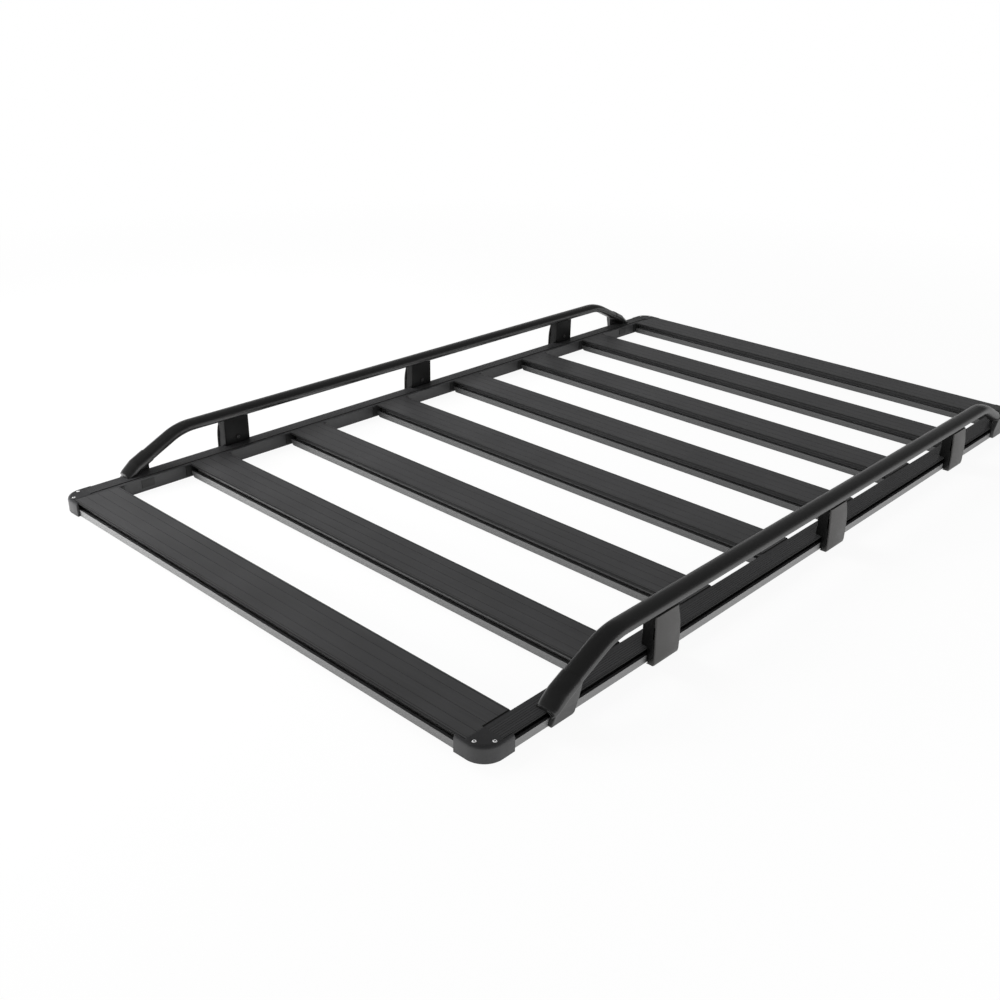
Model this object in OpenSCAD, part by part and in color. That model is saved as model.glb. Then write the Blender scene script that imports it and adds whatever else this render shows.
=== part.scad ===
// Flat platform roof rack: eight cross slats between two side rails,
// moulded corner caps, and a bent guard rail on posts along each side.
// X runs across the rack, Y along it, Z up; the underside is at Z = 0.

/* [Platform] */
// Overall width over the two side rails
plat_w = 1285; // [1000:5:1500]
// Distance from one slat to the next
slat_pitch = 286; // [200:1:340]
// Width of one slat
slat_w = 100; // [84:1:130]
// Width of the first and last slats
end_w = 105; // [88:1:135]
// Height of the slats and side rails
plat_h = 32; // [30:0.5:42]
// Width of a side rail
rail_w = 44; // [40:1:60]
// Thickness of the profiles' walls round their chambers
wall = 2.5; // [1.8:0.1:3.5]

/* [Side channels] */
// Height of the lower lip below each channel
lip_h = 15; // [12:0.5:18]
// Thickness of the lower lip
lip_t = 5.5; // [4:0.5:7]
// Thickness of the flange above each channel
flange_t = 3.5; // [2.5:0.5:5]
// Depth of the channel behind the lip
chan_d = 16; // [13:0.5:20]
// Radius of the rounded top edges
edge_r = 2; // [0.5:0.25:3]

/* [Top grooves] */
// Width of a fine groove in the tops
groove_w = 0.6; // [0.4:0.1:1.5]
// Spacing of the fine grooves along a rail's top
rib_pitch = 5; // [3.5:0.5:8]
// Width of the slot near the inner edge of a rail
slot_w = 1.2; // [0.8:0.1:3]
// Depth of that slot
slot_d = 5; // [3:0.5:6]

/* [Corner caps] */
// Length of the cap's arm along each side
cap_arm = 60; // [48:1:80]
// How far the cap stands out from the profiles
cap_out = 6; // [3:0.5:9]
// Height of the cap's top above the rail
cap_rise = 0.5; // [0.25:0.25:3]
// Radius of the rounded corner
cap_r = 40; // [24:1:43]
// Size of the sloped edge round the cap's top
cap_edge = 10; // [4:0.5:14]
// Radius that softens the top of that slope
cap_soft = 12; // [6:0.5:16]
// Thickness of the cap's walls over its hollow underside
cap_t = 3.5; // [2.5:0.25:4.5]
// Diameter of a cap screw's head
screw_d = 10; // [6:0.5:12]

/* [Guard rails] */
// Height of the tube's centre above the side rail
guard_z = 77; // [60:1:110]
// Width of the oval tube
tube_w = 41; // [34:1:50]
// Height of the oval tube
tube_h = 24; // [20:0.5:30]
// Wall of the oval tube
tube_wall = 2.5; // [1.5:0.25:4]
// Distance from the platform's end to a bracket's tip
guard_end = 126; // [100:1:200]
// How far the guard rails sit rearward of the middle
guard_shift = 10; // [-30:1:30]
// Slope of the tube's two ends in degrees
slope = 26; // [20:1:32]
// Bend radius at the tube's centre
bend_r = 140; // [90:5:200]
// Shift of the tube's centre line inboard from the rail's outer face
tube_in = 3; // [0:0.5:6]

/* [Posts] */
// Distance from an outer post to the guard rail's nearer tip
post_tip = 316.5; // [240:0.5:400]
// Width of a post's outer cover
post_w = 75; // [55:1:90]
// How far the post reaches inboard over the rail
post_in = 14.5; // [10:0.5:18]
// How far the cover stands out at its top
cover_top = 14; // [10:0.5:18]
// How far the cover stands out at its foot
cover_foot = 19; // [14:0.5:24]
// How far the cover's face bulges between its top and its foot
cover_bulge = 2.5; // [0:0.25:4]
// Thickness of the cover
cover_t = 4; // [3:0.5:6]

/* [End brackets] */
// Length of a bracket's foot along the rail
foot_len = 76; // [64:1:90]
// Width of the foot across the rail
foot_w = 27; // [22:0.5:32]
// Height of the foot's front edge
foot_h = 4; // [2:0.5:10]
// Thickness of the sleeve round the tube's end
sleeve_t = 3; // [2:0.25:4]
// Length of the sleeve along the tube
sleeve_len = 19; // [14:1:30]
// Thickness of the skirt that hangs over the rail's outer side
skirt_t = 8; // [5:0.5:11]

/* [Hidden] */
$fn = 48;
eps = 0.01;
clr = 0.2;
slat_n = 8;
half_w = plat_w / 2;
slat_span = (slat_n - 1) * slat_pitch;
half_l = (slat_span + end_w) / 2;
cleat_t = 2.5;
cleat_h = 24;
cleat_out = 13;
slat_gap = 0.3;
slat_len = plat_w - 2 * (rail_w + cleat_t + slat_gap);
strip_drop = 1.3;
slot_in = rail_w - 8.8;
seam_in = 2.5;
cap_seam = rail_w - seam_in;
cap_h = plat_h + cap_rise;
cap_slant = 7;
cap_top_t = max(6.5, cap_edge);
screw_sink = 3;
screw_wall = 2;
hex_d = 4;
chan_top = plat_h - flange_t;
screw_a = 6;
screw_b = 28.5;
plate_w = 32;
plate_h = 18;
plate_t = 1.2;
plate_y = 55.5;
bolt_d = 11;
bolt_h = 3;
bolt_z = 17;
post_h = guard_z - tube_h / 2 + 1;
foot_low = 4;
skirt_in = 9;
guard_len = 2 * (half_l - guard_end);
post_gap = guard_len / 2 - post_tip;

function slat_y(i) = -slat_span / 2 + (i - 1) * slat_pitch;

// Channel cut into an edge that faces +x, with the edge at x = 0
module channel_2d() {
    floor_z = flange_t + 2;
    polygon([[1, lip_h], [-lip_t, lip_h], [-lip_t, floor_z + 3],
        [-lip_t - 3, floor_z], [-chan_d, floor_z], [-chan_d, chan_top - 3],
        [-chan_d + 3, chan_top], [1, chan_top]]);
}

// Rounding of a top corner at the origin whose solid lies towards -x, -y
module corner_2d(r) {
    difference() {
        translate([-r, -r]) square([r + 1, r + 1]);
        translate([-r, -r]) circle(r);
    }
}

module groove_2d(w, z) {
    polygon([[-w / 2 - 0.2, z + 0.2], [w / 2 + 0.2, z + 0.2], [0, z - w * 0.7]]);
}

module slat_2d(w) {
    cw = w / 2 - chan_d - wall;
    difference() {
        translate([-w / 2, 0]) square([w, plat_h]);
        for (s = [-1, 1]) scale([s, 1]) {
            translate([w / 2, 0]) channel_2d();
            translate([w / 2, plat_h]) corner_2d(edge_r);
            translate([wall / 2, wall]) square([cw - wall / 2, plat_h - 2 * wall]);
            translate([w / 2 - 5, 0]) groove_2d(groove_w, plat_h);
            translate([w / 4, 0]) groove_2d(groove_w, plat_h);
        }
        groove_2d(groove_w, plat_h);
    }
}

// Side rail with its outer face at x = 0 and its body towards -x
module rail_2d() {
    n = floor((slot_in - slot_w - 4) / rib_pitch);
    difference() {
        translate([-rail_w, 0]) square([rail_w, plat_h]);
        channel_2d();
        translate([0, plat_h]) corner_2d(edge_r);
        translate([-slot_in, plat_h - slot_d]) square([slot_w, slot_d + 1]);
        translate([-rail_w - 1, plat_h - strip_drop]) square([rail_w - slot_in + 1 + eps, 2]);
        for (i = [0 : n]) translate([-4 - i * rib_pitch, 0]) groove_2d(groove_w, plat_h);
        translate([-rail_w + wall, wall])
            square([rail_w - chan_d - 2 * wall, plat_h - slot_d - 2 * wall]);
    }
}

module side_rail(s) {
    rail_len = 2 * (half_l - cap_seam);
    color([0.30, 0.30, 0.31])
    scale([s, 1, 1]) translate([half_w, rail_len / 2, 0])
        rotate([90, 0, 0]) linear_extrude(rail_len) rail_2d();
}

module slat_bar(len, w) {
    translate([-len / 2, 0, 0]) rotate([90, 0, 90]) linear_extrude(len) slat_2d(w);
}

module slat(i) {
    end = (i == 1) ? -1 : (i == slat_n) ? 1 : 0;
    len = (end == 0) ? slat_len : 2 * (half_w - cap_seam - clr);
    color([0.26, 0.26, 0.27])
    translate([0, slat_y(i), 0]) difference() {
        slat_bar(len, (end == 0) ? slat_w : end_w);
        for (s = [-1, 1]) {
            if (end != 0)
                scale([s, -end, 1])
                    translate([slat_len / 2, -end_w / 2 + cap_seam - clr, -1]) end_notch(len);
            if (end == 0)
                for (e = [-1, 1]) scale([s, e, 1])
                    translate([slat_len / 2, slat_w / 2 - lip_t - 0.5, 0]) lip_notch();
        }
    }
}

// Room for the side rail beside the back of an end slat
module end_notch(len) {
    cube([len, end_w, plat_h + 2]);
}

// Sloped cut at the lower corner of a lip
module lip_notch() {
    rotate([90, 0, 0]) mirror([0, 0, 1]) linear_extrude(lip_t + 2)
        polygon([[1, -1], [-9, -1], [-8, 0], [0, 9], [1, 10]]);
}

// Section of a cap's side whose outer face is at x = 0: the slope at the top runs
// out to a crisp edge below and blends into the flat top through an arc
module cap_2d(w) {
    blend = cap_soft * tan(22.5);
    arc = [for (i = [0 : 6]) let (a = 45 * i / 6)
        [-cap_edge - blend + cap_soft * sin(a), cap_h - cap_soft * (1 - cos(a))]];
    intersection() {
        polygon(concat([[-3 * cap_r, cap_h]], arc,
            [[0, cap_h - cap_edge], [0, 0], [-3 * cap_r, 0]]));
        translate([-w, 0]) square([w, cap_h]);
    }
}

// Arm along the front edge, with a sloped end
module cap_arm_bar() {
    intersection() {
        translate([cap_arm + cap_slant, -cap_out, 0]) rotate([90, 0, -90])
            linear_extrude(cap_arm + cap_slant + cap_out - cap_r) cap_2d(cap_out - clr);
        translate([0, 1, 0]) rotate([90, 0, 0]) linear_extrude(cap_out + 2)
            polygon([[0, -1], [cap_arm + cap_slant, 0], [cap_arm, cap_h], [cap_arm, cap_h + 1],
                [0, cap_h + 1]]);
    }
}

// Body of the cap: a quarter turn between two straight stretches
module cap_body() {
    side = cap_seam - clr + cap_out;
    translate([cap_r - cap_out, cap_r - cap_out, 0]) rotate([0, 0, 180])
        rotate_extrude(angle = 90, $fn = 96) translate([cap_r, 0]) cap_2d(cap_r);
    translate([cap_seam - clr, -cap_out, 0]) rotate([90, 0, -90])
        linear_extrude(side - cap_r) cap_2d(side);
    translate([-cap_out, cap_r - cap_out, 0]) rotate([90, 0, 180])
        linear_extrude(side - cap_r) cap_2d(side);
}

// Hollow underside, with a boss round each screw
module cap_hollow() {
    near = cap_t - cap_out;
    side = cap_seam - clr - cap_t - near;
    r = cap_r - cap_t;
    difference() {
        translate([near, near, -1]) linear_extrude(cap_h - cap_top_t + 1) difference() {
            square([side, side]);
            difference() {
                translate([-1, -1]) square([r + 1, r + 1]);
                translate([r, r]) circle(r, $fn = 96);
            }
        }
        cap_pair() cylinder(d = screw_d + 2 * screw_wall, h = cap_h);
    }
}

// Places of the cap's two screws
module cap_pair() {
    for (p = [[screw_a, screw_b], [screw_b, screw_a]]) translate([p[0], p[1], 0]) children();
}

module corner_cap(sx, sy) {
    color([0.22, 0.22, 0.23])
    scale([sx, sy, 1]) translate([-half_w, -half_l, 0]) difference() {
        union() {
            cap_body();
            cap_arm_bar();
            mirror([1, -1, 0]) cap_arm_bar();
        }
        cap_hollow();
        cap_pair() translate([0, 0, cap_h - screw_sink]) cylinder(d = screw_d + 2 * clr, h = 4);
    }
}

module cap_screws() {
    color([0.85, 0.85, 0.86])
    for (sx = [-1, 1], sy = [-1, 1])
        scale([sx, sy, 1]) translate([-half_w, -half_l, cap_h - screw_sink]) cap_pair()
            difference() {
                cylinder(d = screw_d, h = screw_sink - 2 * clr);
                translate([0, 0, screw_sink / 2]) cylinder(d = hex_d, h = screw_sink, $fn = 6);
            }
}

// Flange plates between each slat's end and the rail's inner face
module cleat(i) {
    back = ((i == 1 || i == slat_n) ? end_w : slat_w) / 2 + cleat_out;
    y0 = (i == 1) ? -end_w / 2 + cap_seam + 1 : -back;
    y1 = (i == slat_n) ? end_w / 2 - cap_seam - 1 : back;
    z0 = (plat_h - cleat_h) / 2;
    translate([half_w - rail_w - cleat_t, slat_y(i) + y0, z0])
        cube([cleat_t, y1 - y0, cleat_h]);
}

module slat_cleats(s) {
    color([0.15, 0.15, 0.15])
    scale([s, 1, 1]) for (i = [1 : slat_n]) cleat(i);
}

// Flat plates on the rails' inner faces, in the first and last gaps
module rail_end_plates() {
    color([0.24, 0.24, 0.25])
    for (sx = [-1, 1], sy = [-1, 1]) scale([sx, sy, 1])
        translate([half_w - rail_w - plate_t, slat_y(1) + end_w / 2 + plate_y,
            (plat_h - plate_h) / 2 + 2])
            cube([plate_t, plate_w, plate_h]);
}

// Guard rails: local x is outboard of the rail's outer face
// Points of the tube's oval section, a superellipse of width w and height h
oval_n = 36;
function bow(v) = sign(v) * pow(abs(v), 2 / 2.3);
function oval(w, h) = [for (i = [0 : oval_n - 1]) let (a = 360 * (i + 0.5) / oval_n)
    [w / 2 * bow(cos(a)), h / 2 * bow(sin(a))]];

// Half of the guard's path: where the straight top ends and the slope begins
tan_l = bend_r * tan(slope / 2);
sleeve_in = 62;
bend_n = 6;
knee_y = guard_len / 2 - sleeve_in - (guard_z - 30) / tan(slope);
top_half = knee_y - tan_l;
slope_l = (guard_z - 24) / sin(slope) - tan_l;

// Stations along one end: distance along Y, height, and slope there
stations = concat(
    [for (i = [0 : bend_n]) let (t = slope * i / bend_n)
        [top_half + bend_r * sin(t), bend_r * cos(t) - bend_r, t]],
    [[top_half + bend_r * sin(slope) + slope_l * cos(slope),
        bend_r * cos(slope) - bend_r - slope_l * sin(slope), slope]]);
path = concat([for (i = [len(stations) - 1 : -1 : 0])
    [-stations[i][0], stations[i][1], -stations[i][2]]], stations);

function ring(pts, st) = [for (p = pts)
    [p[0], st[0] + p[1] * sin(st[2]), st[1] + p[1] * cos(st[2])]];

// Hollow tube swept along the path: outer skin, bore and the two end faces
module swept_tube(outer, inner) {
    n = len(outer);
    m = len(path);
    pts = concat([for (st = path) each ring(outer, st)], [for (st = path) each ring(inner, st)]);
    o = n * m;
    polyhedron(pts, concat(
        [for (i = [0 : m - 2], j = [0 : n - 1]) let (k = (j + 1) % n)
            [i * n + j, i * n + k, (i + 1) * n + k, (i + 1) * n + j]],
        [for (i = [0 : m - 2], j = [0 : n - 1]) let (k = (j + 1) % n)
            [o + i * n + k, o + i * n + j, o + (i + 1) * n + j, o + (i + 1) * n + k]],
        [for (j = [0 : n - 1]) let (k = (j + 1) % n) [k, j, o + j, o + k]],
        [for (j = [0 : n - 1]) let (k = (j + 1) % n, q = (m - 1) * n)
            [q + j, q + k, o + q + k, o + q + j]]));
}

module guard_tube(s) {
    color([0.12, 0.12, 0.12])
    scale([s, 1, 1]) translate([half_w - tube_in, guard_shift, plat_h + guard_z])
        swept_tube(oval(tube_w, tube_h), oval(tube_w - 2 * tube_wall, tube_h - 2 * tube_wall));
}

module post_2d() {
    polygon([[-post_in, 0], [-post_in, post_h], [cover_top - cover_t, post_h],
        [cover_foot - cover_t, foot_low - plat_h], [clr, 1 - plat_h + 1], [clr, 0]]);
}

module guard_post(s, k) {
    pw = post_w - 6;
    color([0.10, 0.10, 0.10])
    scale([s, 1, 1]) translate([half_w, k * post_gap + pw / 2, plat_h])
        rotate([90, 0, 0]) difference() {
            linear_extrude(pw) post_2d();
            translate([-tube_in, guard_z, -1]) linear_extrude(pw + 2)
                polygon(oval(tube_w + 2 * clr, tube_h + 2 * clr));
        }
}

// Outer face of the cover at a share t of the way from its top to its foot
function cover_x(t) = cover_top + (cover_foot - cover_top) * t + cover_bulge * sin(180 * t);
cover_n = 8;

module cover_2d() {
    top = post_h - 1;
    low = foot_low + 3 - plat_h;
    polygon(concat(
        [for (i = [0 : cover_n]) let (t = i / cover_n) [cover_x(t), top + (low - top) * t]],
        [[cover_foot - 3, 0.5 - plat_h], [1, 0.5 - plat_h], [1, 1.8 - plat_h],
            [cover_foot - cover_t + clr, foot_low - plat_h],
            [cover_top - cover_t + clr, top]]));
}

module post_cover(s, k) {
    color([0.32, 0.32, 0.32])
    scale([s, 1, 1]) translate([half_w, k * post_gap + post_w / 2, plat_h])
        rotate([90, 0, 0]) linear_extrude(post_w) cover_2d();
}

module post_bolts() {
    color([0.2, 0.2, 0.2])
    for (s = [-1, 1], k = [-1, 0, 1]) scale([s, 1, 1])
        translate([half_w - post_in, k * post_gap, plat_h + bolt_z])
            rotate([0, -90, 0]) cylinder(d = bolt_d, h = bolt_h);
}

// Straight stretch of the tube's outline along the slope, from dist back of its end
module sloped_oval(grow, from, len) {
    translate([0, guard_len / 2 - top_half, guard_z - bend_r])
        rotate([slope, 0, 0]) translate([0, from - slope_l, bend_r])
            rotate([-90, 0, 0]) linear_extrude(len)
                polygon(oval(tube_w + 2 * grow, tube_h + 2 * grow));
}

// End bracket: foot on the rail, sleeve round the tube's end, skirt outside
module end_bracket(sx, sy) {
    inner = foot_w - 12.5;
    color([0.13, 0.13, 0.13])
    translate([0, guard_shift, 0]) scale([sx, sy, 1])
    translate([half_w, -guard_len / 2, plat_h]) difference() {
        union() {
            hull() {
                translate([-inner, 0, 0]) cube([foot_w, foot_h, foot_h]);
                translate([-inner, foot_h, 0]) cube([foot_w, foot_len - foot_h, foot_h / 2]);
                translate([-tube_in, 0, 0]) sloped_oval(sleeve_t, 4, sleeve_len);
            }
            translate([clr, 0, -plat_h]) rotate([90, 0, 90]) linear_extrude(skirt_t)
                polygon([[skirt_in, 1], [foot_len - 14, 1], [foot_len - 10, 4],
                    [foot_len - 3, plat_h - 7], [foot_len - 2, plat_h + 3],
                    [skirt_in, plat_h + 3]]);
        }
        translate([-tube_in, 0, 0]) sloped_oval(clr, -0.3, 80);
        translate([-60, -20, -60]) cube([60 + clr, 140, 60]);
    }
}

side_rail(-1);  // side_rail_left
side_rail(1);  // side_rail_right
slat(1);  // slat_1
slat(2);  // slat_2
slat(3);  // slat_3
slat(4);  // slat_4
slat(5);  // slat_5
slat(6);  // slat_6
slat(7);  // slat_7
slat(8);  // slat_8
corner_cap(1, 1);  // corner_cap_front_left
corner_cap(-1, 1);  // corner_cap_front_right
corner_cap(1, -1);  // corner_cap_rear_left
corner_cap(-1, -1);  // corner_cap_rear_right
cap_screws();
slat_cleats(-1);  // slat_cleats_left
slat_cleats(1);  // slat_cleats_right
rail_end_plates();
guard_tube(-1);  // guard_tube_left
guard_tube(1);  // guard_tube_right
guard_post(-1, -1);  // guard_post_left_1
guard_post(-1, 0);  // guard_post_left_2
guard_post(-1, 1);  // guard_post_left_3
guard_post(1, -1);  // guard_post_right_1
guard_post(1, 0);  // guard_post_right_2
guard_post(1, 1);  // guard_post_right_3
post_cover(-1, -1);  // post_cover_left_1
post_cover(-1, 0);  // post_cover_left_2
post_cover(-1, 1);  // post_cover_left_3
post_cover(1, -1);  // post_cover_right_1
post_cover(1, 0);  // post_cover_right_2
post_cover(1, 1);  // post_cover_right_3
end_bracket(-1, 1);  // end_bracket_front_left
end_bracket(1, 1);  // end_bracket_front_right
end_bracket(-1, -1);  // end_bracket_rear_left
end_bracket(1, -1);  // end_bracket_rear_right
post_bolts();
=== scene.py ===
# %% [markdown]
# # A flat platform roof rack
# The object is a low aluminium platform: eight wide slats between two side
# rails, moulded corner caps, and a bent guard rail on posts along each side.
# The measured solids are loaded first as a fixed frame. The long profiles are
# right as they come, so they only get a finish. The moulded and bent pieces
# are modelled again here with softer edges, in the very places of the solids.

# %% Load the fixed frame
import math
import bpy
from mathutils import Matrix, Vector


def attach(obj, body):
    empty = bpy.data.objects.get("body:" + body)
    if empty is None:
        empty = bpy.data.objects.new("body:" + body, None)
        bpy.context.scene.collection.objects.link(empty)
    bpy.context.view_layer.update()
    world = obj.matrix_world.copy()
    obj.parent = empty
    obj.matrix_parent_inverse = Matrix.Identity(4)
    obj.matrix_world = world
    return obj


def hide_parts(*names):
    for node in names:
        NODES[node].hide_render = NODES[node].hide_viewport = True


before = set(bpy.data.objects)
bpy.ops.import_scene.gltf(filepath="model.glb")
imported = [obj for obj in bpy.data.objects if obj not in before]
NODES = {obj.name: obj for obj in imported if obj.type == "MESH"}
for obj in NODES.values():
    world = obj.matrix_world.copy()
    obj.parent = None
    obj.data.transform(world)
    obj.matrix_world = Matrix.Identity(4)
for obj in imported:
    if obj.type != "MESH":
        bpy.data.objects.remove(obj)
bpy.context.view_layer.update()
print("solids loaded:", len(NODES))

# %% [markdown]
# ## The rack's main sizes
# A new piece has to fit the solids round it, so it starts from the same sizes.
# They are written once, in metres. The rails' outer faces stand at HALF_W on
# both sides, and slat and rail tops lie at TOP above the underside.

# %% Main sizes
MM = 0.001
HALF_W = 642.5 * MM
HALF_L = 1053.5 * MM
TOP = 32 * MM

# %% [markdown]
# ## The camera
# The view looks down at the rack from its near right corner. The lens is a
# mild telephoto, and the camera is turned a little about its own line of
# sight. Its axes are worked out from the three angles, and a small lens shift
# centres the picture as a photographer's crop does.

# %% Camera at the photograph's angle
def camera_axes(azimuth, elevation, roll):
    a, e, t = (math.radians(v) for v in (azimuth, elevation, roll))
    back = Vector((math.sin(a) * math.cos(e), -math.cos(a) * math.cos(e), math.sin(e)))
    level = Vector((math.cos(a), math.sin(a), 0))
    rise = back.cross(level)
    right = level * math.cos(t) + rise * math.sin(t)
    up = rise * math.cos(t) - level * math.sin(t)
    return Matrix((right, up, back)).transposed()


bpy.ops.object.select_all(action="DESELECT")
bpy.ops.object.camera_add(location=(1.5931, -2.0486, 1.0970))
camera = bpy.context.object
camera.name = "camera"
camera.rotation_euler = camera_axes(41.907, 26.014, 1.618).to_euler()
camera.data.sensor_width = 36
camera.data.lens = 40.633
camera.data.shift_x = -0.0197
camera.data.shift_y = 0.0173
camera.data.clip_end = 60
bpy.context.scene.camera = camera
print("lens", camera.data.lens, "mm")

# %% [markdown]
# ## Floor, walls and lamps
# A studio for black goods is white and large, with soft lamps. The floor is
# pale and plain. For the camera and for reflections it is nearly plain white,
# with a small share of real shading near the rack, so its soft shadow stays.
# Gloss mirrors more of that shading, as it would on a real white floor.
# The world does the same for the walls. The camera sees them white all over.
# In reflections they are white near the horizon and darker above, which keeps
# the tops of black tubes dark, as under a real ceiling. The lamps give matt
# light only, because gloss on such goods mirrors the white room.

# %% Nodes made short
def new_material(name):
    made = bpy.data.materials.new(name)
    made.use_nodes = True
    made.node_tree.nodes.clear()
    return made, made.node_tree


def add_node(tree, kind, sockets=None, **settings):
    node = tree.nodes.new(kind)
    for key, value in settings.items():
        setattr(node, key, value)
    for key, value in (sockets or {}).items():
        if isinstance(value, bpy.types.NodeSocket):
            tree.links.new(value, node.inputs[key])
        else:
            node.inputs[key].default_value = value
    return node


# %% Rays that see the plain white
def white_seen(tree, in_gloss=1.0):
    """One for rays that look at the studio itself, and a share of it for gloss."""
    path = add_node(tree, "ShaderNodeLightPath")
    gloss = add_node(tree, "ShaderNodeMath", {0: path.outputs["Is Glossy Ray"], 1: in_gloss},
                     operation="MULTIPLY")
    seen = add_node(tree, "ShaderNodeMath", {0: path.outputs["Is Camera Ray"],
                    1: gloss.outputs[0]}, operation="MAXIMUM")
    return add_node(tree, "ShaderNodeMath", {0: seen.outputs[0],
                    1: path.outputs["Is Transmission Ray"]}, operation="MAXIMUM").outputs[0]


def pale_floor():
    """Nearly plain white to the eye near the rack, and all of it from 3.5 m on."""
    made, tree = new_material("pale_floor")
    paint = add_node(tree, "ShaderNodeBsdfDiffuse", {"Color": (0.9, 0.9, 0.9, 1)})
    white = add_node(tree, "ShaderNodeEmission", {"Color": (1, 1, 1, 1), "Strength": 1.0})
    where = add_node(tree, "ShaderNodeTexCoord")
    far = add_node(tree, "ShaderNodeVectorMath", {0: where.outputs["Object"]}, operation="LENGTH")
    plain = add_node(tree, "ShaderNodeMapRange", {"Value": far.outputs["Value"], "From Min": 1.0,
                     "From Max": 3.5, "To Min": 0.92, "To Max": 1.0})
    share = add_node(tree, "ShaderNodeMath", {0: white_seen(tree, 0.5), 1: plain.outputs[0]},
                     operation="MULTIPLY")
    seen = add_node(tree, "ShaderNodeMixShader", {0: share.outputs[0], 1: paint.outputs[0],
                    2: white.outputs[0]})
    add_node(tree, "ShaderNodeOutputMaterial", {"Surface": seen.outputs[0]})
    return made


bpy.ops.mesh.primitive_plane_add(size=400, location=(0, 0, -0.0004))
floor = bpy.context.object
floor.name = "floor"
floor.data.materials.append(pale_floor())
print("floor", [round(d) for d in floor.dimensions], "m")

# %% White walls, darker above in reflections
world = bpy.data.worlds.new("studio")
bpy.context.scene.world = world
world.use_nodes = True
sky = world.node_tree
sky.nodes.clear()
way = add_node(sky, "ShaderNodeTexCoord")
height = add_node(sky, "ShaderNodeSeparateXYZ", {0: way.outputs["Generated"]})
walls = add_node(sky, "ShaderNodeValToRGB", {0: height.outputs["Z"]})
stops = walls.color_ramp.elements
stops[0].position, stops[1].position = 0.05, 0.9
stops[0].color, stops[1].color = (1, 1, 1, 1), (0.06, 0.06, 0.06, 1)
for place, grey in ((0.18, 0.35), (0.34, 0.09)):
    stops.new(place).color = (grey, grey, grey, 1)
strength = add_node(sky, "ShaderNodeMapRange", {"Value": white_seen(sky), "To Min": 0.45,
                    "To Max": walls.outputs[0]})
path = add_node(sky, "ShaderNodeLightPath")
behind = add_node(sky, "ShaderNodeMath", {0: strength.outputs[0],
                  1: path.outputs["Is Camera Ray"]}, operation="MAXIMUM")
backdrop = add_node(sky, "ShaderNodeBackground", {"Color": (1, 1, 1, 1),
                    "Strength": behind.outputs[0]})
add_node(sky, "ShaderNodeOutputWorld", {"Surface": backdrop.outputs[0]})


# %% Soft lamps
def softbox(name, place, target, size, power):
    light = bpy.data.lights.new(name, "AREA")
    light.shape = "RECTANGLE"
    light.size, light.size_y = size
    light.energy = power
    lamp = bpy.data.objects.new(name, light)
    lamp.location = place
    lamp.rotation_euler = (Vector(target) - Vector(place)).to_track_quat("-Z", "Y").to_euler()
    lamp.visible_camera = False
    lamp.visible_glossy = False
    bpy.context.scene.collection.objects.link(lamp)


softbox("front_softbox", (-1.2, -2.2, 0.4), (-0.2, -1.0, 0.0), (1.2, 0.5), 50)
softbox("side_softbox", (2.6, -0.15, 0.3), (0.6, -0.05, 0.0), (1.9, 0.5), 38)
softbox("left_softbox", (-1.7, -0.5, 1.6), (-0.2, -0.1, 0.0), (1.1, 1.1), 44)


# %% [markdown]
# ## Black powder coat
# The profiles are coated with a fine, slightly uneven black powder. Drawn metal shows through it
# as faint lengthwise streaks. The streaks are noise stretched along the piece. They change the
# gloss more than the colour. The upright faces of the lower lips get a lighter colour. This is a
# painted highlight for the light that the low lamps and the white floor throw on them, and on the
# slats it fades towards the rear. The thin flange edges and grooves get a darker colour as
# painted shade, and they are duller. These faces are found by their height, the way that they
# face and how far out they are.

# %% Masks for the profiles' parts
LIP_TOP = 15.2 * MM
LIP_DEPTH = 40 * MM
FLANGE_BASE = 27.5 * MM
# The lips' painted highlight is full at the first y and falls to the rear share at the second.
LIP_HIGHLIGHT_FULL_Y, LIP_HIGHLIGHT_LOW_Y = -0.9, 0.0


def both(tree, *shares):
    """Product of masks."""
    product = shares[0]
    for share in shares[1:]:
        product = add_node(tree, "ShaderNodeMath", {0: product, 1: share},
                           operation="MULTIPLY").outputs[0]
    return product


def compare(tree, value, limit, operation, size=False):
    if size:
        value = add_node(tree, "ShaderNodeMath", {0: value}, operation="ABSOLUTE").outputs[0]
    return add_node(tree, "ShaderNodeMath", {0: value, 1: limit}, operation=operation).outputs[0]


def profile_parts(tree, where, across, inboard, rear):
    """Masks for the lips' upright faces, which get a painted highlight that is weaker to the
    rear, and for the top's edges and grooves, which get painted shade.
    """
    place = add_node(tree, "ShaderNodeSeparateXYZ", {0: where.outputs["Object"]})
    facing = add_node(tree, "ShaderNodeSeparateXYZ", {0: where.outputs["Normal"]})
    z = place.outputs["Z"]
    # Painted highlight on the lips: full at the front, weaker to the rear.
    highlight_fade = add_node(tree, "ShaderNodeMapRange", {"Value": place.outputs["Y"],
                    "From Min": LIP_HIGHLIGHT_FULL_Y, "From Max": LIP_HIGHLIGHT_LOW_Y, "To Min": 1.0, "To Max": rear})
    lips = both(tree, highlight_fade.outputs[0], compare(tree, z, LIP_TOP, "LESS_THAN"),
                compare(tree, facing.outputs[across], 0.8, "GREATER_THAN", size=True),
                compare(tree, place.outputs[across], inboard + LIP_DEPTH, "GREATER_THAN",
                        size=True))
    # The top's edges and grooves, which get painted shade and a duller gloss.
    edges = both(tree, compare(tree, z, FLANGE_BASE, "GREATER_THAN"),
                 compare(tree, facing.outputs["Z"], 0.95, "LESS_THAN"),
                 compare(tree, place.outputs[across], inboard, "GREATER_THAN", size=True))
    return lips, edges


# %% Coat for the profiles
# EDGE_SHADE is the darker colour painted on flange edges and grooves as painted shade.
EDGE_SHADE, EDGE_ROUGH = 0.015, 0.9


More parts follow.
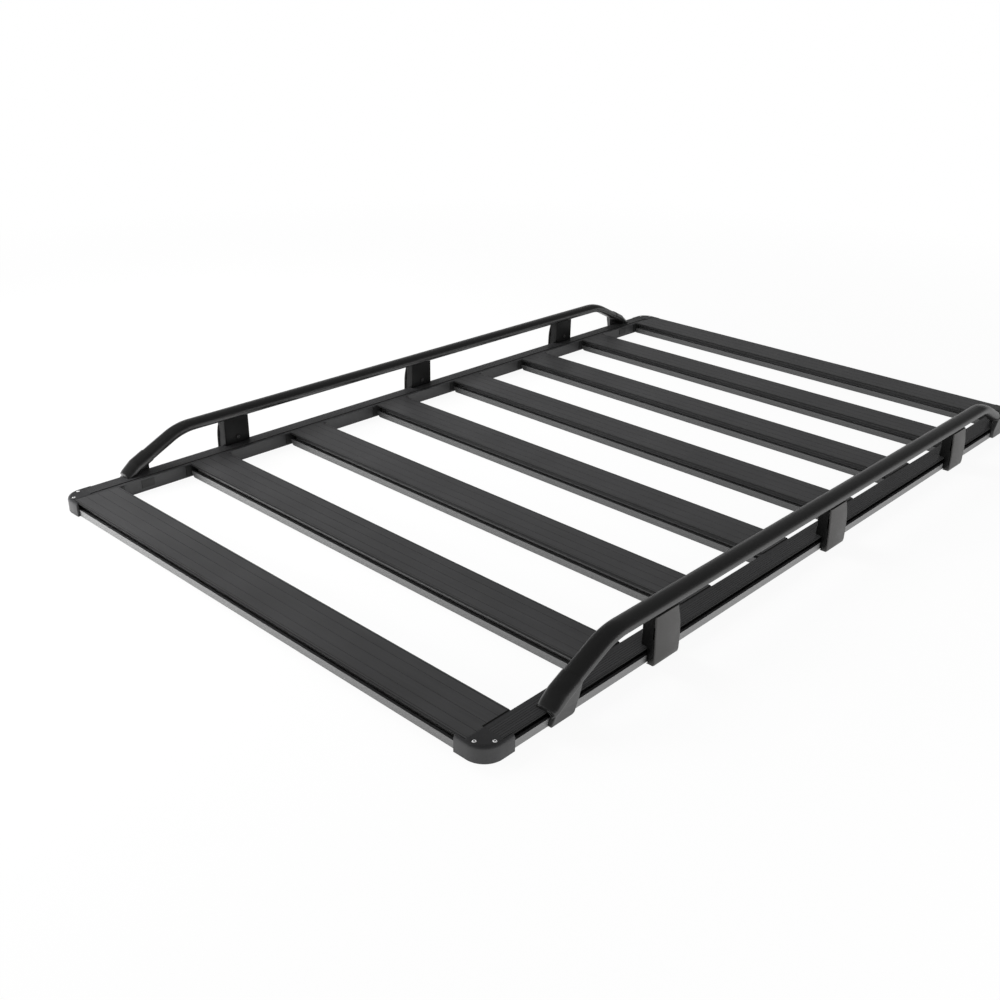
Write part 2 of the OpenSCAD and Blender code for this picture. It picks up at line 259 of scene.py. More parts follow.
def powder_coat(name, tone, rough, along, streak=0.5, ior=1.5, lip_highlight=None, inboard=0.0,
                rear=1.0):
    made, tree = new_material(name)
    where = add_node(tree, "ShaderNodeTexCoord")
    stretch = [600.0, 600.0, 600.0]
    stretch[along] = 6.0
    lines = add_node(tree, "ShaderNodeMapping", {"Vector": where.outputs["Object"],
                     "Scale": stretch})
    drawn = add_node(tree, "ShaderNodeTexNoise", {"Vector": lines.outputs[0], "Scale": 1.0,
                     "Detail": 3.0, "Roughness": 0.6})
    cloud = add_node(tree, "ShaderNodeTexNoise", {"Vector": where.outputs["Object"], "Scale": 7.0,
                     "Detail": 2.0})
    grain = add_node(tree, "ShaderNodeTexNoise", {"Vector": where.outputs["Object"],
                     "Scale": 1400.0, "Detail": 1.0})
    shade = add_node(tree, "ShaderNodeMapRange", {"Value": drawn.outputs["Fac"], "From Min": 0.3,
                     "From Max": 0.7, "To Min": 1 - 0.3 * streak, "To Max": 1 + 0.3 * streak})
    soft = add_node(tree, "ShaderNodeMapRange", {"Value": cloud.outputs["Fac"], "From Min": 0.3,
                    "From Max": 0.7, "To Min": 0.92, "To Max": 1.08})
    tint = add_node(tree, "ShaderNodeMath", {0: shade.outputs[0], 1: soft.outputs[0]},
                    operation="MULTIPLY")
    colour = add_node(tree, "ShaderNodeVectorMath", {0: tone, "Scale": tint.outputs[0]},
                      operation="SCALE")
    gloss = add_node(tree, "ShaderNodeMapRange", {"Value": drawn.outputs["Fac"], "From Min": 0.3,
                     "From Max": 0.7, "To Min": rough - 0.05 * streak,
                     "To Max": rough + 0.05 * streak})
    rise = add_node(tree, "ShaderNodeMath", {0: grain.outputs["Fac"], 1: drawn.outputs["Fac"]},
                    operation="ADD")
    bump = add_node(tree, "ShaderNodeBump", {"Height": rise.outputs[0], "Strength": 0.12,
                    "Distance": 0.0003})
    paint, roughness = colour.outputs[0], gloss.outputs[0]
    if lip_highlight:
        lips, edges = profile_parts(tree, where, "XY"[1 - along], inboard, rear)
        # The lips get the painted highlight tone, and the edges and grooves get the painted shade
        # tone.
        for mask, tone in ((lips, lip_highlight), (edges, EDGE_SHADE)):
            paint = add_node(tree, "ShaderNodeMix", {"Factor": mask, 6: paint,
                             7: (tone, tone, tone, 1)}, data_type="RGBA").outputs[2]
        roughness = add_node(tree, "ShaderNodeMapRange", {"Value": edges, "To Min": roughness,
                             "To Max": EDGE_ROUGH}).outputs[0]
    coat = add_node(tree, "ShaderNodeBsdfPrincipled", {"Base Color": paint,
                    "Roughness": roughness, "Normal": bump.outputs[0], "IOR": ior})
    add_node(tree, "ShaderNodeOutputMaterial", {"Surface": coat.outputs[0]})
    return made


RAIL_TOP_W = 42 * MM
# lip_highlight is the lighter colour painted on the lower lips' upright faces as a painted
# highlight.
rail_coat = powder_coat("rail_coat", (0.035, 0.035, 0.036), 0.40, 1, lip_highlight=0.17,
                        inboard=HALF_W - RAIL_TOP_W)
slat_coat = powder_coat("slat_coat", (0.044, 0.044, 0.045), 0.42, 0, lip_highlight=0.15, rear=0.3)
tube_coat = powder_coat("tube_coat", (0.006, 0.006, 0.006), 0.36, 1, streak=0.1, ior=1.9)


# %% [markdown]
# ## Moulded black plastic
# The caps, posts and brackets are moulded, with the even fine grain that an
# etched mould leaves. A grain of noise drives the bump, and a slow noise
# varies the gloss so that the flats aren't dead.

# %% Plastic
def moulded(name, tone, rough, grain_size=0.0007, ior=1.5):
    made, tree = new_material(name)
    where = add_node(tree, "ShaderNodeTexCoord")
    grain = add_node(tree, "ShaderNodeTexNoise", {"Vector": where.outputs["Object"],
                     "Scale": 1 / grain_size, "Detail": 2.0})
    cloud = add_node(tree, "ShaderNodeTexNoise", {"Vector": where.outputs["Object"],
                     "Scale": 30.0, "Detail": 2.0})
    gloss = add_node(tree, "ShaderNodeMapRange", {"Value": cloud.outputs["Fac"], "From Min": 0.3,
                     "From Max": 0.7, "To Min": rough - 0.05, "To Max": rough + 0.05})
    tint = add_node(tree, "ShaderNodeMapRange", {"Value": cloud.outputs["Fac"], "From Min": 0.3,
                    "From Max": 0.7, "To Min": 0.93, "To Max": 1.07})
    colour = add_node(tree, "ShaderNodeVectorMath", {0: tone, "Scale": tint.outputs[0]},
                      operation="SCALE")
    bump = add_node(tree, "ShaderNodeBump", {"Height": grain.outputs["Fac"], "Strength": 0.25,
                    "Distance": 0.0002})
    skin = add_node(tree, "ShaderNodeBsdfPrincipled", {"Base Color": colour.outputs[0],
                    "Roughness": gloss.outputs[0], "Normal": bump.outputs[0], "IOR": ior})
    add_node(tree, "ShaderNodeOutputMaterial", {"Surface": skin.outputs[0]})
    return made


cap_plastic = moulded("cap_plastic", (0.022, 0.022, 0.023), 0.42, ior=1.6)
post_plastic = moulded("post_plastic", (0.003, 0.003, 0.003), 0.45, ior=1.33)
cover_plastic = moulded("cover_plastic", (0.030, 0.029, 0.028), 0.40, ior=1.6)
bracket_plastic = moulded("bracket_plastic", (0.007, 0.007, 0.007), 0.34, ior=1.85)
cleat_coat = powder_coat("cleat_coat", (0.012, 0.012, 0.012), 0.45, 1, streak=0.1)


# %% Bright steel
def bright_steel(name, tone, metallic):
    made, tree = new_material(name)
    where = add_node(tree, "ShaderNodeTexCoord")
    turned = add_node(tree, "ShaderNodeTexNoise", {"Vector": where.outputs["Object"],
                      "Scale": 2500.0, "Detail": 1.0})
    gloss = add_node(tree, "ShaderNodeMapRange", {"Value": turned.outputs["Fac"],
                     "To Min": 0.28, "To Max": 0.45})
    metal = add_node(tree, "ShaderNodeBsdfPrincipled", {"Base Color": (tone, tone, tone, 1),
                     "Metallic": metallic, "Roughness": gloss.outputs[0]})
    add_node(tree, "ShaderNodeOutputMaterial", {"Surface": metal.outputs[0]})
    return made


screw_steel = bright_steel("screw_steel", 0.9, 0.2)
# A near-black steel that paints shade into the screws' sockets.
socket_shade = bright_steel("socket_shade", 0.06, 0.5)


# %% Finishes on the solids
def finish_of(name):
    for start, finish in (("side_rail", rail_coat), ("slat_cleats", cleat_coat),
                          ("slat_", slat_coat), ("corner_cap", cap_plastic),
                          ("cap_screws", screw_steel), ("rail_end", cleat_coat),
                          ("guard_tube", tube_coat), ("guard_post", post_plastic),
                          ("post_cover", cover_plastic), ("end_bracket", bracket_plastic),
                          ("post_bolts", cleat_coat)):
        if name.startswith(start):
            return finish


for name, solid in NODES.items():
    solid.data.materials.clear()
    solid.data.materials.append(finish_of(name))

# %% [markdown]
# ## Working by hand
# Each new piece starts as a primitive of the right size, in its place. It is
# shaped in edit mode by picking points, edges or faces by where they lie and
# then extruding, spinning, bevelling or cutting them, and finished with
# modifiers. These few helpers do the picking and the tidying at the end.

# %% Picking and finishing
def nothing_picked():
    if bpy.context.object and bpy.context.object.mode != "OBJECT":
        bpy.ops.object.mode_set(mode="OBJECT")
    bpy.ops.object.select_all(action="DESELECT")


def only(piece):
    nothing_picked()
    piece.select_set(True)
    bpy.context.view_layer.objects.active = piece


def pick(piece, kind, test):
    only(piece)
    bpy.ops.object.mode_set(mode="EDIT")
    bpy.ops.mesh.select_mode(type=kind)
    bpy.ops.mesh.select_all(action="DESELECT")
    bpy.ops.object.mode_set(mode="OBJECT")
    mesh = piece.data
    if kind == "VERT":
        for point in mesh.vertices:
            point.select = test(point.co)
    if kind == "EDGE":
        for edge in mesh.edges:
            edge.select = test(*(mesh.vertices[v].co for v in edge.vertices))
    if kind == "FACE":
        for face in mesh.polygons:
            face.select = test(face.center, face.normal)
    bpy.ops.object.mode_set(mode="EDIT")


def added(name):
    piece = bpy.context.object
    piece.name = name
    bpy.ops.object.transform_apply(location=True, rotation=True, scale=True)
    return piece


def block(name, low, high):
    nothing_picked()
    bpy.ops.mesh.primitive_cube_add(size=1, location=[(a + b) / 2 for a, b in zip(low, high)])
    bpy.context.object.scale = [b - a for a, b in zip(low, high)]
    return added(name)


def apply(piece, kind, **settings):
    only(piece)
    change = piece.modifiers.new(kind.lower(), kind)
    for key, value in settings.items():
        setattr(change, key, value)
    bpy.ops.object.modifier_apply(modifier=change.name)


def soften(piece, width, sharp):
    """Small bevel on the edges that turn by more than a number of degrees."""
    apply(piece, "BEVEL", width=width, segments=2, limit_method="ANGLE",
          angle_limit=math.radians(sharp))


def combine(piece, tool, operation):
    apply(piece, "BOOLEAN", object=tool, operation=operation, solver="EXACT")
    bpy.data.objects.remove(tool)


def tidy(piece, soft=35):
    only(piece)
    bpy.ops.object.mode_set(mode="EDIT")
    bpy.ops.mesh.select_all(action="SELECT")
    bpy.ops.mesh.remove_doubles(threshold=0.000005)
    bpy.ops.mesh.normals_make_consistent(inside=False)
    bpy.ops.object.mode_set(mode="OBJECT")
    bpy.ops.object.shade_smooth_by_angle(angle=math.radians(soft))


def copied(piece, name, flip=(1, 1, 1), move=(0, 0, 0)):
    only(piece)
    bpy.ops.object.duplicate(linked=False)
    twin = bpy.context.object
    twin.name = name
    bpy.ops.object.mode_set(mode="EDIT")
    bpy.ops.mesh.select_all(action="SELECT")
    bpy.ops.transform.resize(value=flip, center_override=(0, 0, 0))
    bpy.ops.transform.translate(value=move)
    bpy.ops.mesh.normals_make_consistent(inside=False)
    bpy.ops.object.mode_set(mode="OBJECT")
    return twin


def joined(pieces, name):
    """Make one object of several, keeping the first one's data."""
    only(pieces[0])
    for piece in pieces:
        piece.select_set(True)
    bpy.ops.object.join()
    pieces[0].name = name
    return pieces[0]


def settle(piece, finish, slot, *nodes):
    """Give a finished piece its material and body, and hide the solids that it replaces. The slot
    argument is not used.
    """
    piece.data.materials.clear()
    piece.data.materials.append(finish)
    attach(piece, "root")
    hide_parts(*nodes)
    print(piece.name, [round(d, 4) for d in piece.dimensions], len(piece.data.polygons), "faces")


def to_corners(piece, name, finish, slot, node, rear_shift=0.0):
    """Copy the near right corner's piece to the other three, and settle all four."""
    for x, end_x in ((1, "right"), (-1, "left")):
        for y, end_y in ((1, "front"), (-1, "rear")):
            if x + y < 2:
                twin = copied(piece, f"{name}_{end_y}_{end_x}", flip=(x, y, 1),
                              move=(0, rear_shift if y < 0 else 0, 0))
                settle(twin, finish, slot, f"{node}_{end_y}_{end_x}")
    settle(piece, finish, slot, f"{node}_front_right")


# %% [markdown]
# ## Guard rail tube
# On the real rack this is one length of flattened aluminium tube, bent near
# both ends so that they slope down to the side rail. Here a circle is swollen
# a little at its diagonals and squashed to the flat oval section. It is drawn
# out along the straight top, spun round each bend and drawn out again down the
# slope. A wall is then added inwards.

# %% Sizes of the guard rail
RISE = 77 * MM
TUBE_X = HALF_W - 3 * MM
TUBE_Z = TOP + RISE
TUBE_W, TUBE_H = 40.8 * MM, 23.9 * MM
TUBE_WALL = 2.5 * MM
BEND = 140 * MM
SLOPE = math.radians(26)
SHIFT = 10 * MM
GUARD_LEN = 1855 * MM
KNEE = GUARD_LEN / 2 - 62 * MM - (RISE - 30 * MM) / math.tan(SLOPE)
FLAT = KNEE - BEND * math.tan(SLOPE / 2)
RUN = (RISE - 24 * MM) / math.sin(SLOPE) - BEND * math.tan(SLOPE / 2)


# %% Oval ring and tube
def oval_ring(name, place, width, height, points=48):
    """Flattened oval: a circle pushed out at its diagonals in steps, then squashed."""
    nothing_picked()
    bpy.ops.mesh.primitive_circle_add(vertices=points, radius=1, location=place,
                                      rotation=(math.pi / 2, 0, 0))
    ring = added(name)
    for low in (9, 16, 24, 31, 39):
        pick(ring, "VERT", lambda p: math.sin(math.radians(2 * low)) - 1e-4
             < 2 * abs(p.x - place[0]) * abs(p.z - place[2]) / (p - Vector(place)).length_squared)
        bpy.ops.transform.resize(value=(1.011, 1, 1.011), center_override=place)
    pick(ring, "VERT", lambda p: True)
    bpy.ops.transform.resize(value=(width / 2, 1, height / 2), center_override=place)
    bpy.ops.object.mode_set(mode="OBJECT")
    return ring


def bend_down(end):
    """Turn the picked ring down round the knee, then draw it out along the slope."""
    bpy.ops.mesh.spin(steps=14, angle=SLOPE, center=(TUBE_X, SHIFT + end * FLAT, TUBE_Z - BEND),
                      axis=(end, 0, 0))
    step = (0, end * RUN * math.cos(SLOPE), -RUN * math.sin(SLOPE))
    bpy.ops.mesh.extrude_region_move(TRANSFORM_OT_translate={"value": step})


tube = oval_ring("guard_rail_right", (TUBE_X, SHIFT - FLAT, TUBE_Z), TUBE_W, TUBE_H)
pick(tube, "VERT", lambda p: True)
bpy.ops.mesh.extrude_region_move(TRANSFORM_OT_translate={"value": (0, 2 * FLAT, 0)})
bend_down(1)
pick(tube, "VERT", lambda p: abs(p.y - (SHIFT - FLAT)) < 1e-5)
bend_down(-1)
tidy(tube)
apply(tube, "SOLIDIFY", thickness=TUBE_WALL, offset=-1)
tidy(tube)
left_tube = copied(tube, "guard_rail_left", flip=(-1, 1, 1))
settle(tube, tube_coat, "tube", "guard_tube_right")
settle(left_tube, tube_coat, "tube", "guard_tube_left")


# %% [markdown]
# ## Cleats at the slats' ends
# A dark flange plate stands between each slat's end and the side rail, and
# shows beside the slat. Above it, a narrow tongue closes the seam. One is a
# plate with a raised middle, drawn up from its top face, with soft edges.

# %% Sizes of the cleats
PITCH, SLATS = 286 * MM, 8
CLEAT_X = (HALF_W - 46.5 * MM, HALF_W - 44 * MM)
FLANGE = 13 * MM
CUT_BACK = 42.5 * MM
TONGUE = 2.6 * MM


def cleat(name, number):
    """A plate at one slat's end, cut back beside the corner cap on the outer slats."""
    middle = (number - (SLATS + 1) / 2) * PITCH
    half = (52.5 if number in (1, SLATS) else 50) * MM
    low, high = middle - half, middle + half
    front = low + CUT_BACK if number == 1 else low - FLANGE
    rear = high - CUT_BACK if number == SLATS else high + FLANGE
    plate = block(name, (CLEAT_X[0], front, 4 * MM), (CLEAT_X[1], rear, 28 * MM))
    for y in (low + 0.5 * MM, high - 0.5 * MM):
        pick(plate, "FACE", lambda c, n: n.z > 0.9)
        bpy.ops.mesh.bisect(plane_co=(0, y, 0), plane_no=(0, 1, 0))
    pick(plate, "FACE", lambda c, n: n.z > 0.9 and low < c.y < high)
    bpy.ops.mesh.extrude_region_move(TRANSFORM_OT_translate={"value": (0, 0, TONGUE)})
    tidy(plate)
    soften(plate, 0.3 * MM, 40)
    return plate


# %% Eight cleats a side
cleats = joined([cleat("cleat", number) for number in range(1, SLATS + 1)], "cleats_right")
tidy(cleats)
left_cleats = copied(cleats, "cleats_left", flip=(-1, 1, 1))
settle(cleats, cleat_coat, "cleat", "slat_cleats_right")
settle(left_cleats, cleat_coat, "cleat", "slat_cleats_left")


# %% [markdown]
# ## Corner cap
# A moulded cap closes each corner. Its plan is a square with one large round
# corner and two thin arms that run along the profiles over the channels. The
# outer top edge is rounded and the top is flat. It starts as a block: the
# corner and the top edge are bevelled, the outer strip of each seam face is
# drawn out to an arm, and an upright cut ends it. The underside is hollow, as
# a moulding's is. The top faces are shaded flat, so that the round edge does
# not tilt the light on them.

# %% Sizes of the cap
OUT = 6 * MM
SEAM = 41.3 * MM
CAP_TOP = 32.5 * MM
CAP_WALL = 3.5 * MM
ROUND_CORNER = 40 * MM
EDGE = 8 * MM
HOLLOW_TOP = 22.5 * MM
ARM = 62 * MM
ARM_INNER = 0.2 * MM
SEAT_DEPTH = 3 * MM
SCREWS = ((6 * MM, 28.5 * MM), (28.5 * MM, 6 * MM))
CORNER = Vector((HALF_W, -HALF_L, 0))


def from_corner(inboard, along, z):
    """A point of the near right corner: distances inboard of the rail and of the slat."""
    return Vector((CORNER.x - inboard, CORNER.y + along, z))


# %% Body and arms
def corner_block(name, out, seam, low, top, round_corner):
    """A block over the near right corner, with its outer upright edge rounded."""
    a, b = from_corner(seam, -out, low), from_corner(-out, seam, top)
    piece = block(name, a, b)
    pick(piece, "EDGE", lambda p, q: min(p.x, q.x) > b.x - 1e-5 and max(p.y, q.y) < a.y + 1e-5)
    bpy.ops.mesh.bevel(offset=round_corner, segments=24, profile=0.5)
    return piece


def on_seam(p):
    return p.x < CORNER.x - SEAM + 1e-5 or p.y > CORNER.y + SEAM - 1e-5


cap = corner_block("cap_front_right", OUT, SEAM, 0, CAP_TOP, ROUND_CORNER)
pick(cap, "EDGE", lambda p, q: min(p.z, q.z) > CAP_TOP - 1e-5
     and not (on_seam(p) and on_seam(q)))
bpy.ops.mesh.bevel(offset=EDGE, segments=8, profile=0.5, clamp_overlap=False)


def draw_arm(along_x):
    """Split the seam face at the arm's thickness and draw its outer strip out."""
    way = Vector((-1, 0, 0)) if along_x else Vector((0, 1, 0))
    pick(cap, "FACE", lambda c, n: n.dot(way) > 0.99)
    side = (0, 1, 0) if along_x else (1, 0, 0)
    bpy.ops.mesh.bisect(plane_co=from_corner(-ARM_INNER, -ARM_INNER, 0), plane_no=side)
    pick(cap, "FACE", lambda c, n: n.dot(way) > 0.99
         and (c.y < CORNER.y - ARM_INNER if along_x else c.x > CORNER.x + ARM_INNER))
    bpy.ops.mesh.extrude_region_move(TRANSFORM_OT_translate={"value": way * 40 * MM})
    pick(cap, "FACE", lambda c, n: True)
    bpy.ops.mesh.bisect(plane_co=from_corner(ARM, ARM, CAP_TOP), plane_no=way,
                        clear_outer=True, use_fill=True)


draw_arm(True)
draw_arm(False)

# %% Hollow underside, screw seats and soft edges
hollow = corner_block("hollow", OUT - CAP_WALL, SEAM - CAP_WALL, -5 * MM, HOLLOW_TOP,
                      ROUND_CORNER - CAP_WALL)
combine(cap, hollow, "DIFFERENCE")


def round_at(spot, radius, low, high):
    place = from_corner(*spot, (low + high) / 2)
    nothing_picked()
    bpy.ops.mesh.primitive_cylinder_add(vertices=40, radius=radius, depth=high - low,
                                        location=place)
    return added("round")


for spot in SCREWS:
    combine(cap, round_at(spot, 6.5 * MM, 0.5 * MM, CAP_TOP - 5 * MM), "UNION")
    combine(cap, round_at(spot, 4.8 * MM, CAP_TOP - SEAT_DEPTH, CAP_TOP + 5 * MM), "DIFFERENCE")
soften(cap, 0.5 * MM, 40)
tidy(cap)
pick(cap, "FACE", lambda c, n: n.z > 0.999)
bpy.ops.mesh.faces_shade_flat()
bpy.ops.object.mode_set(mode="OBJECT")

# %% Four caps
to_corners(cap, "cap", cap_plastic, "cap", "corner_cap")


# %% [markdown]
# ## Cap screws and post screws
# Two bright button-head screws hold each cap, and a black one shows on the
# inner face of every post. A button head is a low dome with a hexagonal
# socket. One is made from a cylinder with a bevelled rim and a cut socket,
# and copied to each place.

# %% One button head
def button_head(name, place, radius, height, socket):
    """A domed head that stands on a place, with a six-sided socket in its top."""
    nothing_picked()
    bpy.ops.mesh.primitive_cylinder_add(vertices=40, radius=radius, depth=height,
                                        location=Vector(place) + Vector((0, 0, height / 2)))
    head = added(name)
    top = place[2] + height
    pick(head, "EDGE", lambda p, q: min(p.z, q.z) > top - 1e-6)
    bpy.ops.mesh.bevel(offset=height * 0.72, segments=5, profile=0.5, clamp_overlap=False)
    nothing_picked()
    bpy.ops.mesh.primitive_cylinder_add(vertices=6, radius=socket, depth=height * 0.7,
                                        location=Vector(place) + Vector((0, 0, height)))
    combine(head, added("socket"), "DIFFERENCE")
    tidy(head)
    return head


# %% Eight bright screws in the caps
SEAT = CAP_TOP - SEAT_DEPTH
SOCKET = 2 * MM
screws = []
for spot in SCREWS:
    first = button_head("screw", from_corner(*spot, SEAT), 4.3 * MM, 2.6 * MM, SOCKET)
    screws += [first] + [copied(first, "screw", flip=(x, y, 1))
                         for x, y in ((-1, 1), (1, -1), (-1, -1))]
screws = joined(screws, "bright_screws")
settle(screws, screw_steel, "screw", "cap_screws")
# The faces inside the sockets get the near-black steel as painted shade in the recess.
screws.data.materials.append(socket_shade)


def in_socket(c, n):
    """True for the faces that lie near a screw's axis and below its dome."""
    near = Vector((abs(c.x), -abs(c.y), c.z))
    reach = min((near - from_corner(*spot, c.z)).length for spot in SCREWS)
    return c.z < SEAT + 2.3 * MM and reach < SOCKET + 0.3 * MM


pick(screws, "FACE", in_socket)
screws.active_material_index = 1
bpy.ops.object.material_slot_assign()
bpy.ops.object.mode_set(mode="OBJECT")


# %% [markdown]
# ## Guard posts
# Each post is a black moulding that stands on the side rail, reaches down over
# the rail's outer side, and cups the tube from below. It starts as a block.
# The outer half is drawn down over the rail, the inner foot is rounded, and
# the tube's seat is cut with an oval a little larger than the tube.

# %% Sizes of the posts
POSTS = (-611 * MM, 0.0, 611 * MM)
POST_IN = 14.5 * MM
POST_HALF = 34.5 * MM
POST_TOP = TOP + 66 * MM


# %% One post
post = block("post", (HALF_W - POST_IN, -POST_HALF, TOP + 0.1 * MM),
             (HALF_W + 10 * MM, POST_HALF, POST_TOP))
skirt = block("skirt", (HALF_W + 0.3 * MM, -POST_HALF, 2.2 * MM),
              (HALF_W + 14.4 * MM, POST_HALF, TOP + 20 * MM))
pick(skirt, "VERT", lambda p: p.z > TOP and p.x > HALF_W + 5 * MM)
bpy.ops.transform.translate(value=(-1 * MM, 0, 0))
combine(post, skirt, "UNION")
pick(post, "EDGE", lambda p, q: max(p.x, q.x) < HALF_W - POST_IN + 1e-5
     and min(p.z, q.z) < POST_TOP - 1e-5)
bpy.ops.mesh.bevel(offset=3 * MM, segments=4, profile=0.5)
seat_cut = oval_ring("seat", (TUBE_X, -60 * MM, TUBE_Z), TUBE_W + 0.8 * MM, TUBE_H + 0.8 * MM)
pick(seat_cut, "VERT", lambda p: True)
bpy.ops.mesh.edge_face_add()
bpy.ops.mesh.extrude_region_move(TRANSFORM_OT_translate={"value": (0, 120 * MM, 0)})
tidy(seat_cut)
combine(post, seat_cut, "DIFFERENCE")
soften(post, 0.6 * MM, 35)
tidy(post)

# %% [markdown]
# ## Post covers
# A smooth cover clips over the outside of each post. Its face bulges a little,
# it narrows towards the top, and its foot curls in under the rail. A block as
# thick as the cover is drawn down in steps that follow the bulge, and the
# last step turns inwards. Then the upright edges are rounded.

# %% One cover
COVER_TOP = TOP + 64 * MM
COVER_HALF = 37.5 * MM
LEVELS = 9
FOOT = 7 * MM


def cover_out(share):
    """Distance of the outer face from the rail at a share of the way down."""
    return (14 + 5 * share + 2 * math.sin(math.pi * share)) * MM


cover = block("cover", (HALF_W + 10.2 * MM, -COVER_HALF, COVER_TOP - 1 * MM),
              (HALF_W + cover_out(0), COVER_HALF, COVER_TOP))
drop = (COVER_TOP - 1 * MM - FOOT) / LEVELS
for level in range(LEVELS):
    pick(cover, "FACE", lambda c, n: n.z < -0.9 and c.z < COVER_TOP - level * drop - 0.5 * MM)
    step = cover_out((level + 1) / LEVELS) - cover_out(level / LEVELS)
    bpy.ops.mesh.extrude_region_move(TRANSFORM_OT_translate={"value": (step, 0, -drop)})
pick(cover, "FACE", lambda c, n: n.z < -0.9 and c.z < FOOT + 1e-4)
bpy.ops.mesh.extrude_region_move(TRANSFORM_OT_translate={"value": (-1.5 * MM, 0, -6.3 * MM)})
pick(cover, "FACE", lambda c, n: n.x < -0.5 and c.z < FOOT)
bpy.ops.mesh.extrude_region_move(TRANSFORM_OT_translate={"value": (-11.5 * MM, 0, 0)})
pick(cover, "VERT", lambda p: p.x < HALF_W + 6 * MM and p.z > 1.9 * MM)
bpy.ops.transform.translate(value=(0, 0, -4.9 * MM))

# %% Narrower top and rounded upright edges
for share, half in ((0.0, 33 * MM), (0.12, 34.6 * MM), (0.25, 36 * MM), (0.37, 37 * MM)):
    z = COVER_TOP - share * (COVER_TOP - FOOT)
    pick(cover, "VERT", lambda p: abs(p.z - z) < drop * 0.6)
    bpy.ops.transform.resize(value=(1, half / COVER_HALF, 1), center_override=(0, 0, 0))
pick(cover, "EDGE", lambda p, q: abs(p.y - q.y) < 4 * MM and abs(p.y) > 25 * MM
     and min(p.x, q.x) > HALF_W + 12 * MM and abs(p.z - q.z) > 1 * MM)
bpy.ops.mesh.bevel(offset=2.4 * MM, segments=4, profile=0.5)
soften(cover, 0.5 * MM, 35)
tidy(cover)

# %% Six posts, covers and screws
bolt = button_head("post_screw", (0, 0, 0), 5.5 * MM, 3 * MM, 2.6 * MM)
pick(bolt, "VERT", lambda p: True)
bpy.ops.transform.rotate(value=math.radians(90), orient_axis="Y", center_override=(0, 0, 0))
bpy.ops.object.mode_set(mode="OBJECT")
bolts = []
for side, end_x in ((1, "right"), (-1, "left")):
    for number, y in enumerate(POSTS, 1):
        one = copied(post, f"post_{end_x}_{number}", flip=(side, 1, 1), move=(0, y, 0))
        settle(one, post_plastic, "post", f"guard_post_{end_x}_{number}")
        one = copied(cover, f"cover_{end_x}_{number}", flip=(side, 1, 1), move=(0, y, 0))
        settle(one, cover_plastic, "cover", f"post_cover_{end_x}_{number}")
        place = (side * (HALF_W - POST_IN), y, TOP + 17 * MM)
        bolts.append(copied(bolt, "bolt", flip=(side, 1, 1), move=place))
settle(joined(bolts, "post_screws"), cleat_coat, "bolt", "post_bolts")
for spare in (post, cover, bolt):
    bpy.data.objects.remove(spare)


# %% [markdown]
# ## End brackets
# Each end of a guard rail is held by a moulding with one flowing form: a
# sleeve round the tube that flattens out to a thin beak on the side rail, and
# a skirt that hangs over the rail's outer side. The sleeve is drawn down from
# an oval in steps, each lower than the last, and cut level with the rail. The
# beak is a thin block whose outer side is drawn down over the rail's edge. The
# skirt is a block whose rear edge slopes and whose upper part leans out to
# meet the sleeve. The two are joined, given one skin of small even faces and
# smoothed, so that they flow together, and the tube's bore is cut last.

# %% Sizes of the bracket
TIP = SHIFT - GUARD_LEN / 2
SLEEVE_W, SLEEVE_H = 43.6 * MM, 26.8 * MM
RINGS = ((36, 17.5, 43.6, 26.8), (27.7, 10.7, 43.4, 26), (20.3, 5.3, 43, 24.4),
         (13, 0.5, 42, 21.6), (8.1, -2.9, 39, 19))


def down_slope(back):
    """Centre of the tube's line at a distance behind the bracket's tip."""
    return Vector((TUBE_X, TIP + back, TOP + back * math.tan(SLOPE)))


# %% Sleeve that flattens towards its tip
here, width, height = down_slope(70 * MM), SLEEVE_W, SLEEVE_H
bracket = oval_ring("bracket_front_right", here, width, height, points=40)
pick(bracket, "VERT", lambda p: True)
bpy.ops.transform.rotate(value=-SLOPE, orient_axis="X", center_override=here)
bpy.ops.mesh.edge_face_add()
for ring in RINGS:
    back, above, next_w, next_h = (v * MM for v in ring)
    there = Vector((TUBE_X, TIP + back, TOP + above))
    bpy.ops.mesh.extrude_region_move(TRANSFORM_OT_translate={"value": there - here})
    bpy.ops.transform.resize(value=(next_w / width, next_h / height, next_h / height),
                             center_override=there)
    here, width, height = there, next_w, next_h
tidy(bracket)
over_rail = block("over_rail", (HALF_W - 60 * MM, TIP - 30 * MM, -20 * MM),
                  (HALF_W + 0.3 * MM, TIP + 120 * MM, TOP + 0.1 * MM))
combine(bracket, over_rail, "DIFFERENCE")
beak = block("beak", (HALF_W - 22.5 * MM, TIP + 4 * MM, TOP + 0.1 * MM),
             (HALF_W + 1 * MM, TIP + 24 * MM, TOP + 3.2 * MM))
pick(beak, "FACE", lambda c, n: n.x > 0.9)
bpy.ops.mesh.extrude_region_move(TRANSFORM_OT_translate={"value": (12.5 * MM, 0, -8.3 * MM)})
tidy(beak)
combine(bracket, beak, "UNION")

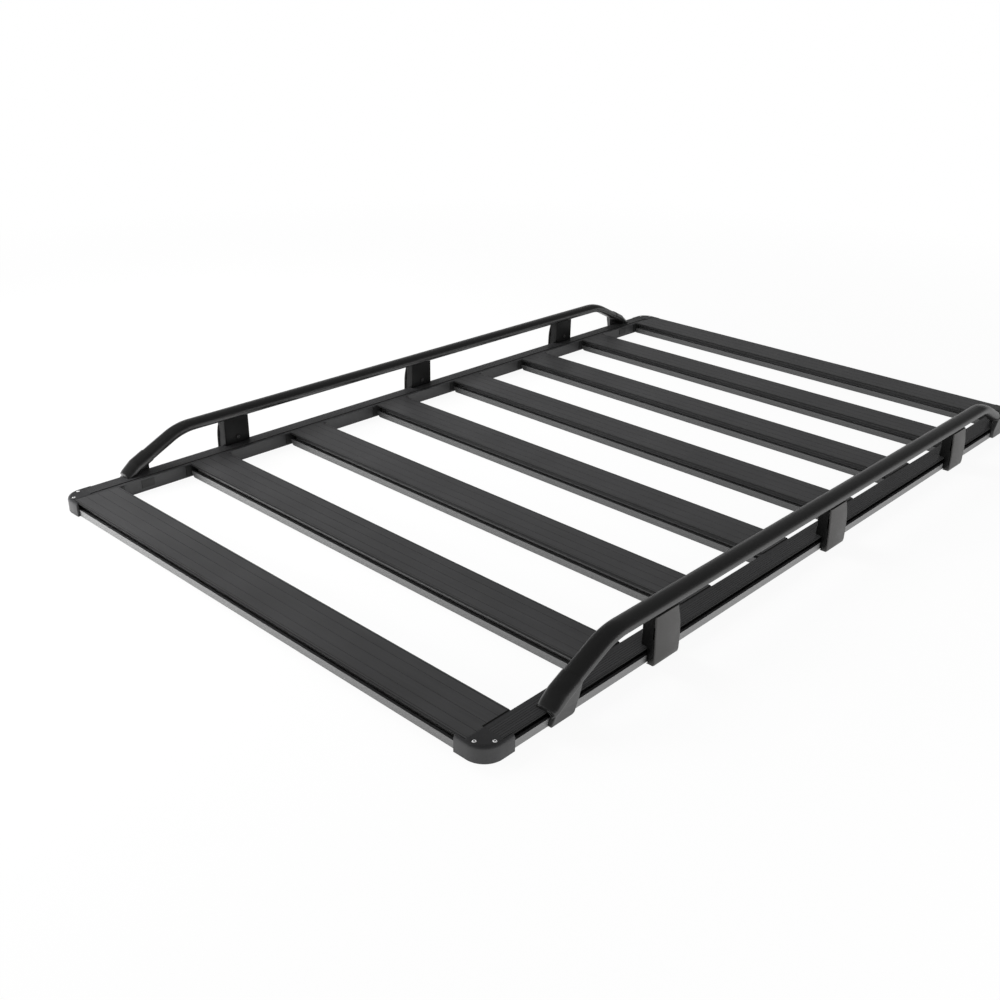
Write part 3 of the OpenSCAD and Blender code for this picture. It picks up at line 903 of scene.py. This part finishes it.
# %% Skirt over the rail's outer side
skirt = block("skirt", (HALF_W + 0.3 * MM, TIP + 9 * MM, 1 * MM),
              (HALF_W + 8.3 * MM, TIP + 66 * MM, 58 * MM))
pick(skirt, "VERT", lambda p: p.z > 50 * MM and p.y < TIP + 20 * MM)
bpy.ops.transform.translate(value=(0, 6 * MM, -29 * MM))
pick(skirt, "VERT", lambda p: p.z > 28 * MM and p.x > HALF_W + 5 * MM)
bpy.ops.transform.translate(value=(5.5 * MM, 0, 0))
pick(skirt, "FACE", lambda c, n: True)
bpy.ops.mesh.bisect(plane_co=(0, 0, 25 * MM), plane_no=(0, 0, 1))
pick(skirt, "VERT", lambda p: p.y > TIP + 60 * MM and p.z > 20 * MM)
bpy.ops.transform.translate(value=(0, 6.5 * MM, 0))
pick(skirt, "VERT", lambda p: p.y > TIP + 60 * MM and p.z > 50 * MM and p.x > HALF_W + 5 * MM)
bpy.ops.transform.translate(value=(3 * MM, 0, 0))
pick(skirt, "EDGE", lambda p, q: max(p.z, q.z) < 2 * MM and min(p.y, q.y) > TIP + 60 * MM)
bpy.ops.mesh.bevel(offset=5 * MM, segments=4, profile=0.5)
tidy(skirt)
combine(bracket, skirt, "UNION")

# %% One flowing skin, and the tube's bore
apply(bracket, "REMESH", mode="VOXEL", voxel_size=0.75 * MM)
apply(bracket, "SMOOTH", factor=0.5, iterations=7)
bore = oval_ring("bore", down_slope(44 * MM), TUBE_W + 0.6 * MM, TUBE_H + 0.6 * MM)
pick(bore, "VERT", lambda p: True)
bpy.ops.transform.rotate(value=-SLOPE, orient_axis="X", center_override=down_slope(44 * MM))
bpy.ops.mesh.edge_face_add()
bpy.ops.mesh.extrude_region_move(
    TRANSFORM_OT_translate={"value": down_slope(110 * MM) - down_slope(44 * MM)})
tidy(bore)
combine(bracket, bore, "DIFFERENCE")
tidy(bracket, soft=45)

# %% Four brackets
to_corners(bracket, "bracket", bracket_plastic, "bracket", "end_bracket", rear_shift=2 * SHIFT)

# %% Plain colour view
bpy.context.scene.view_settings.view_transform = "Standard"
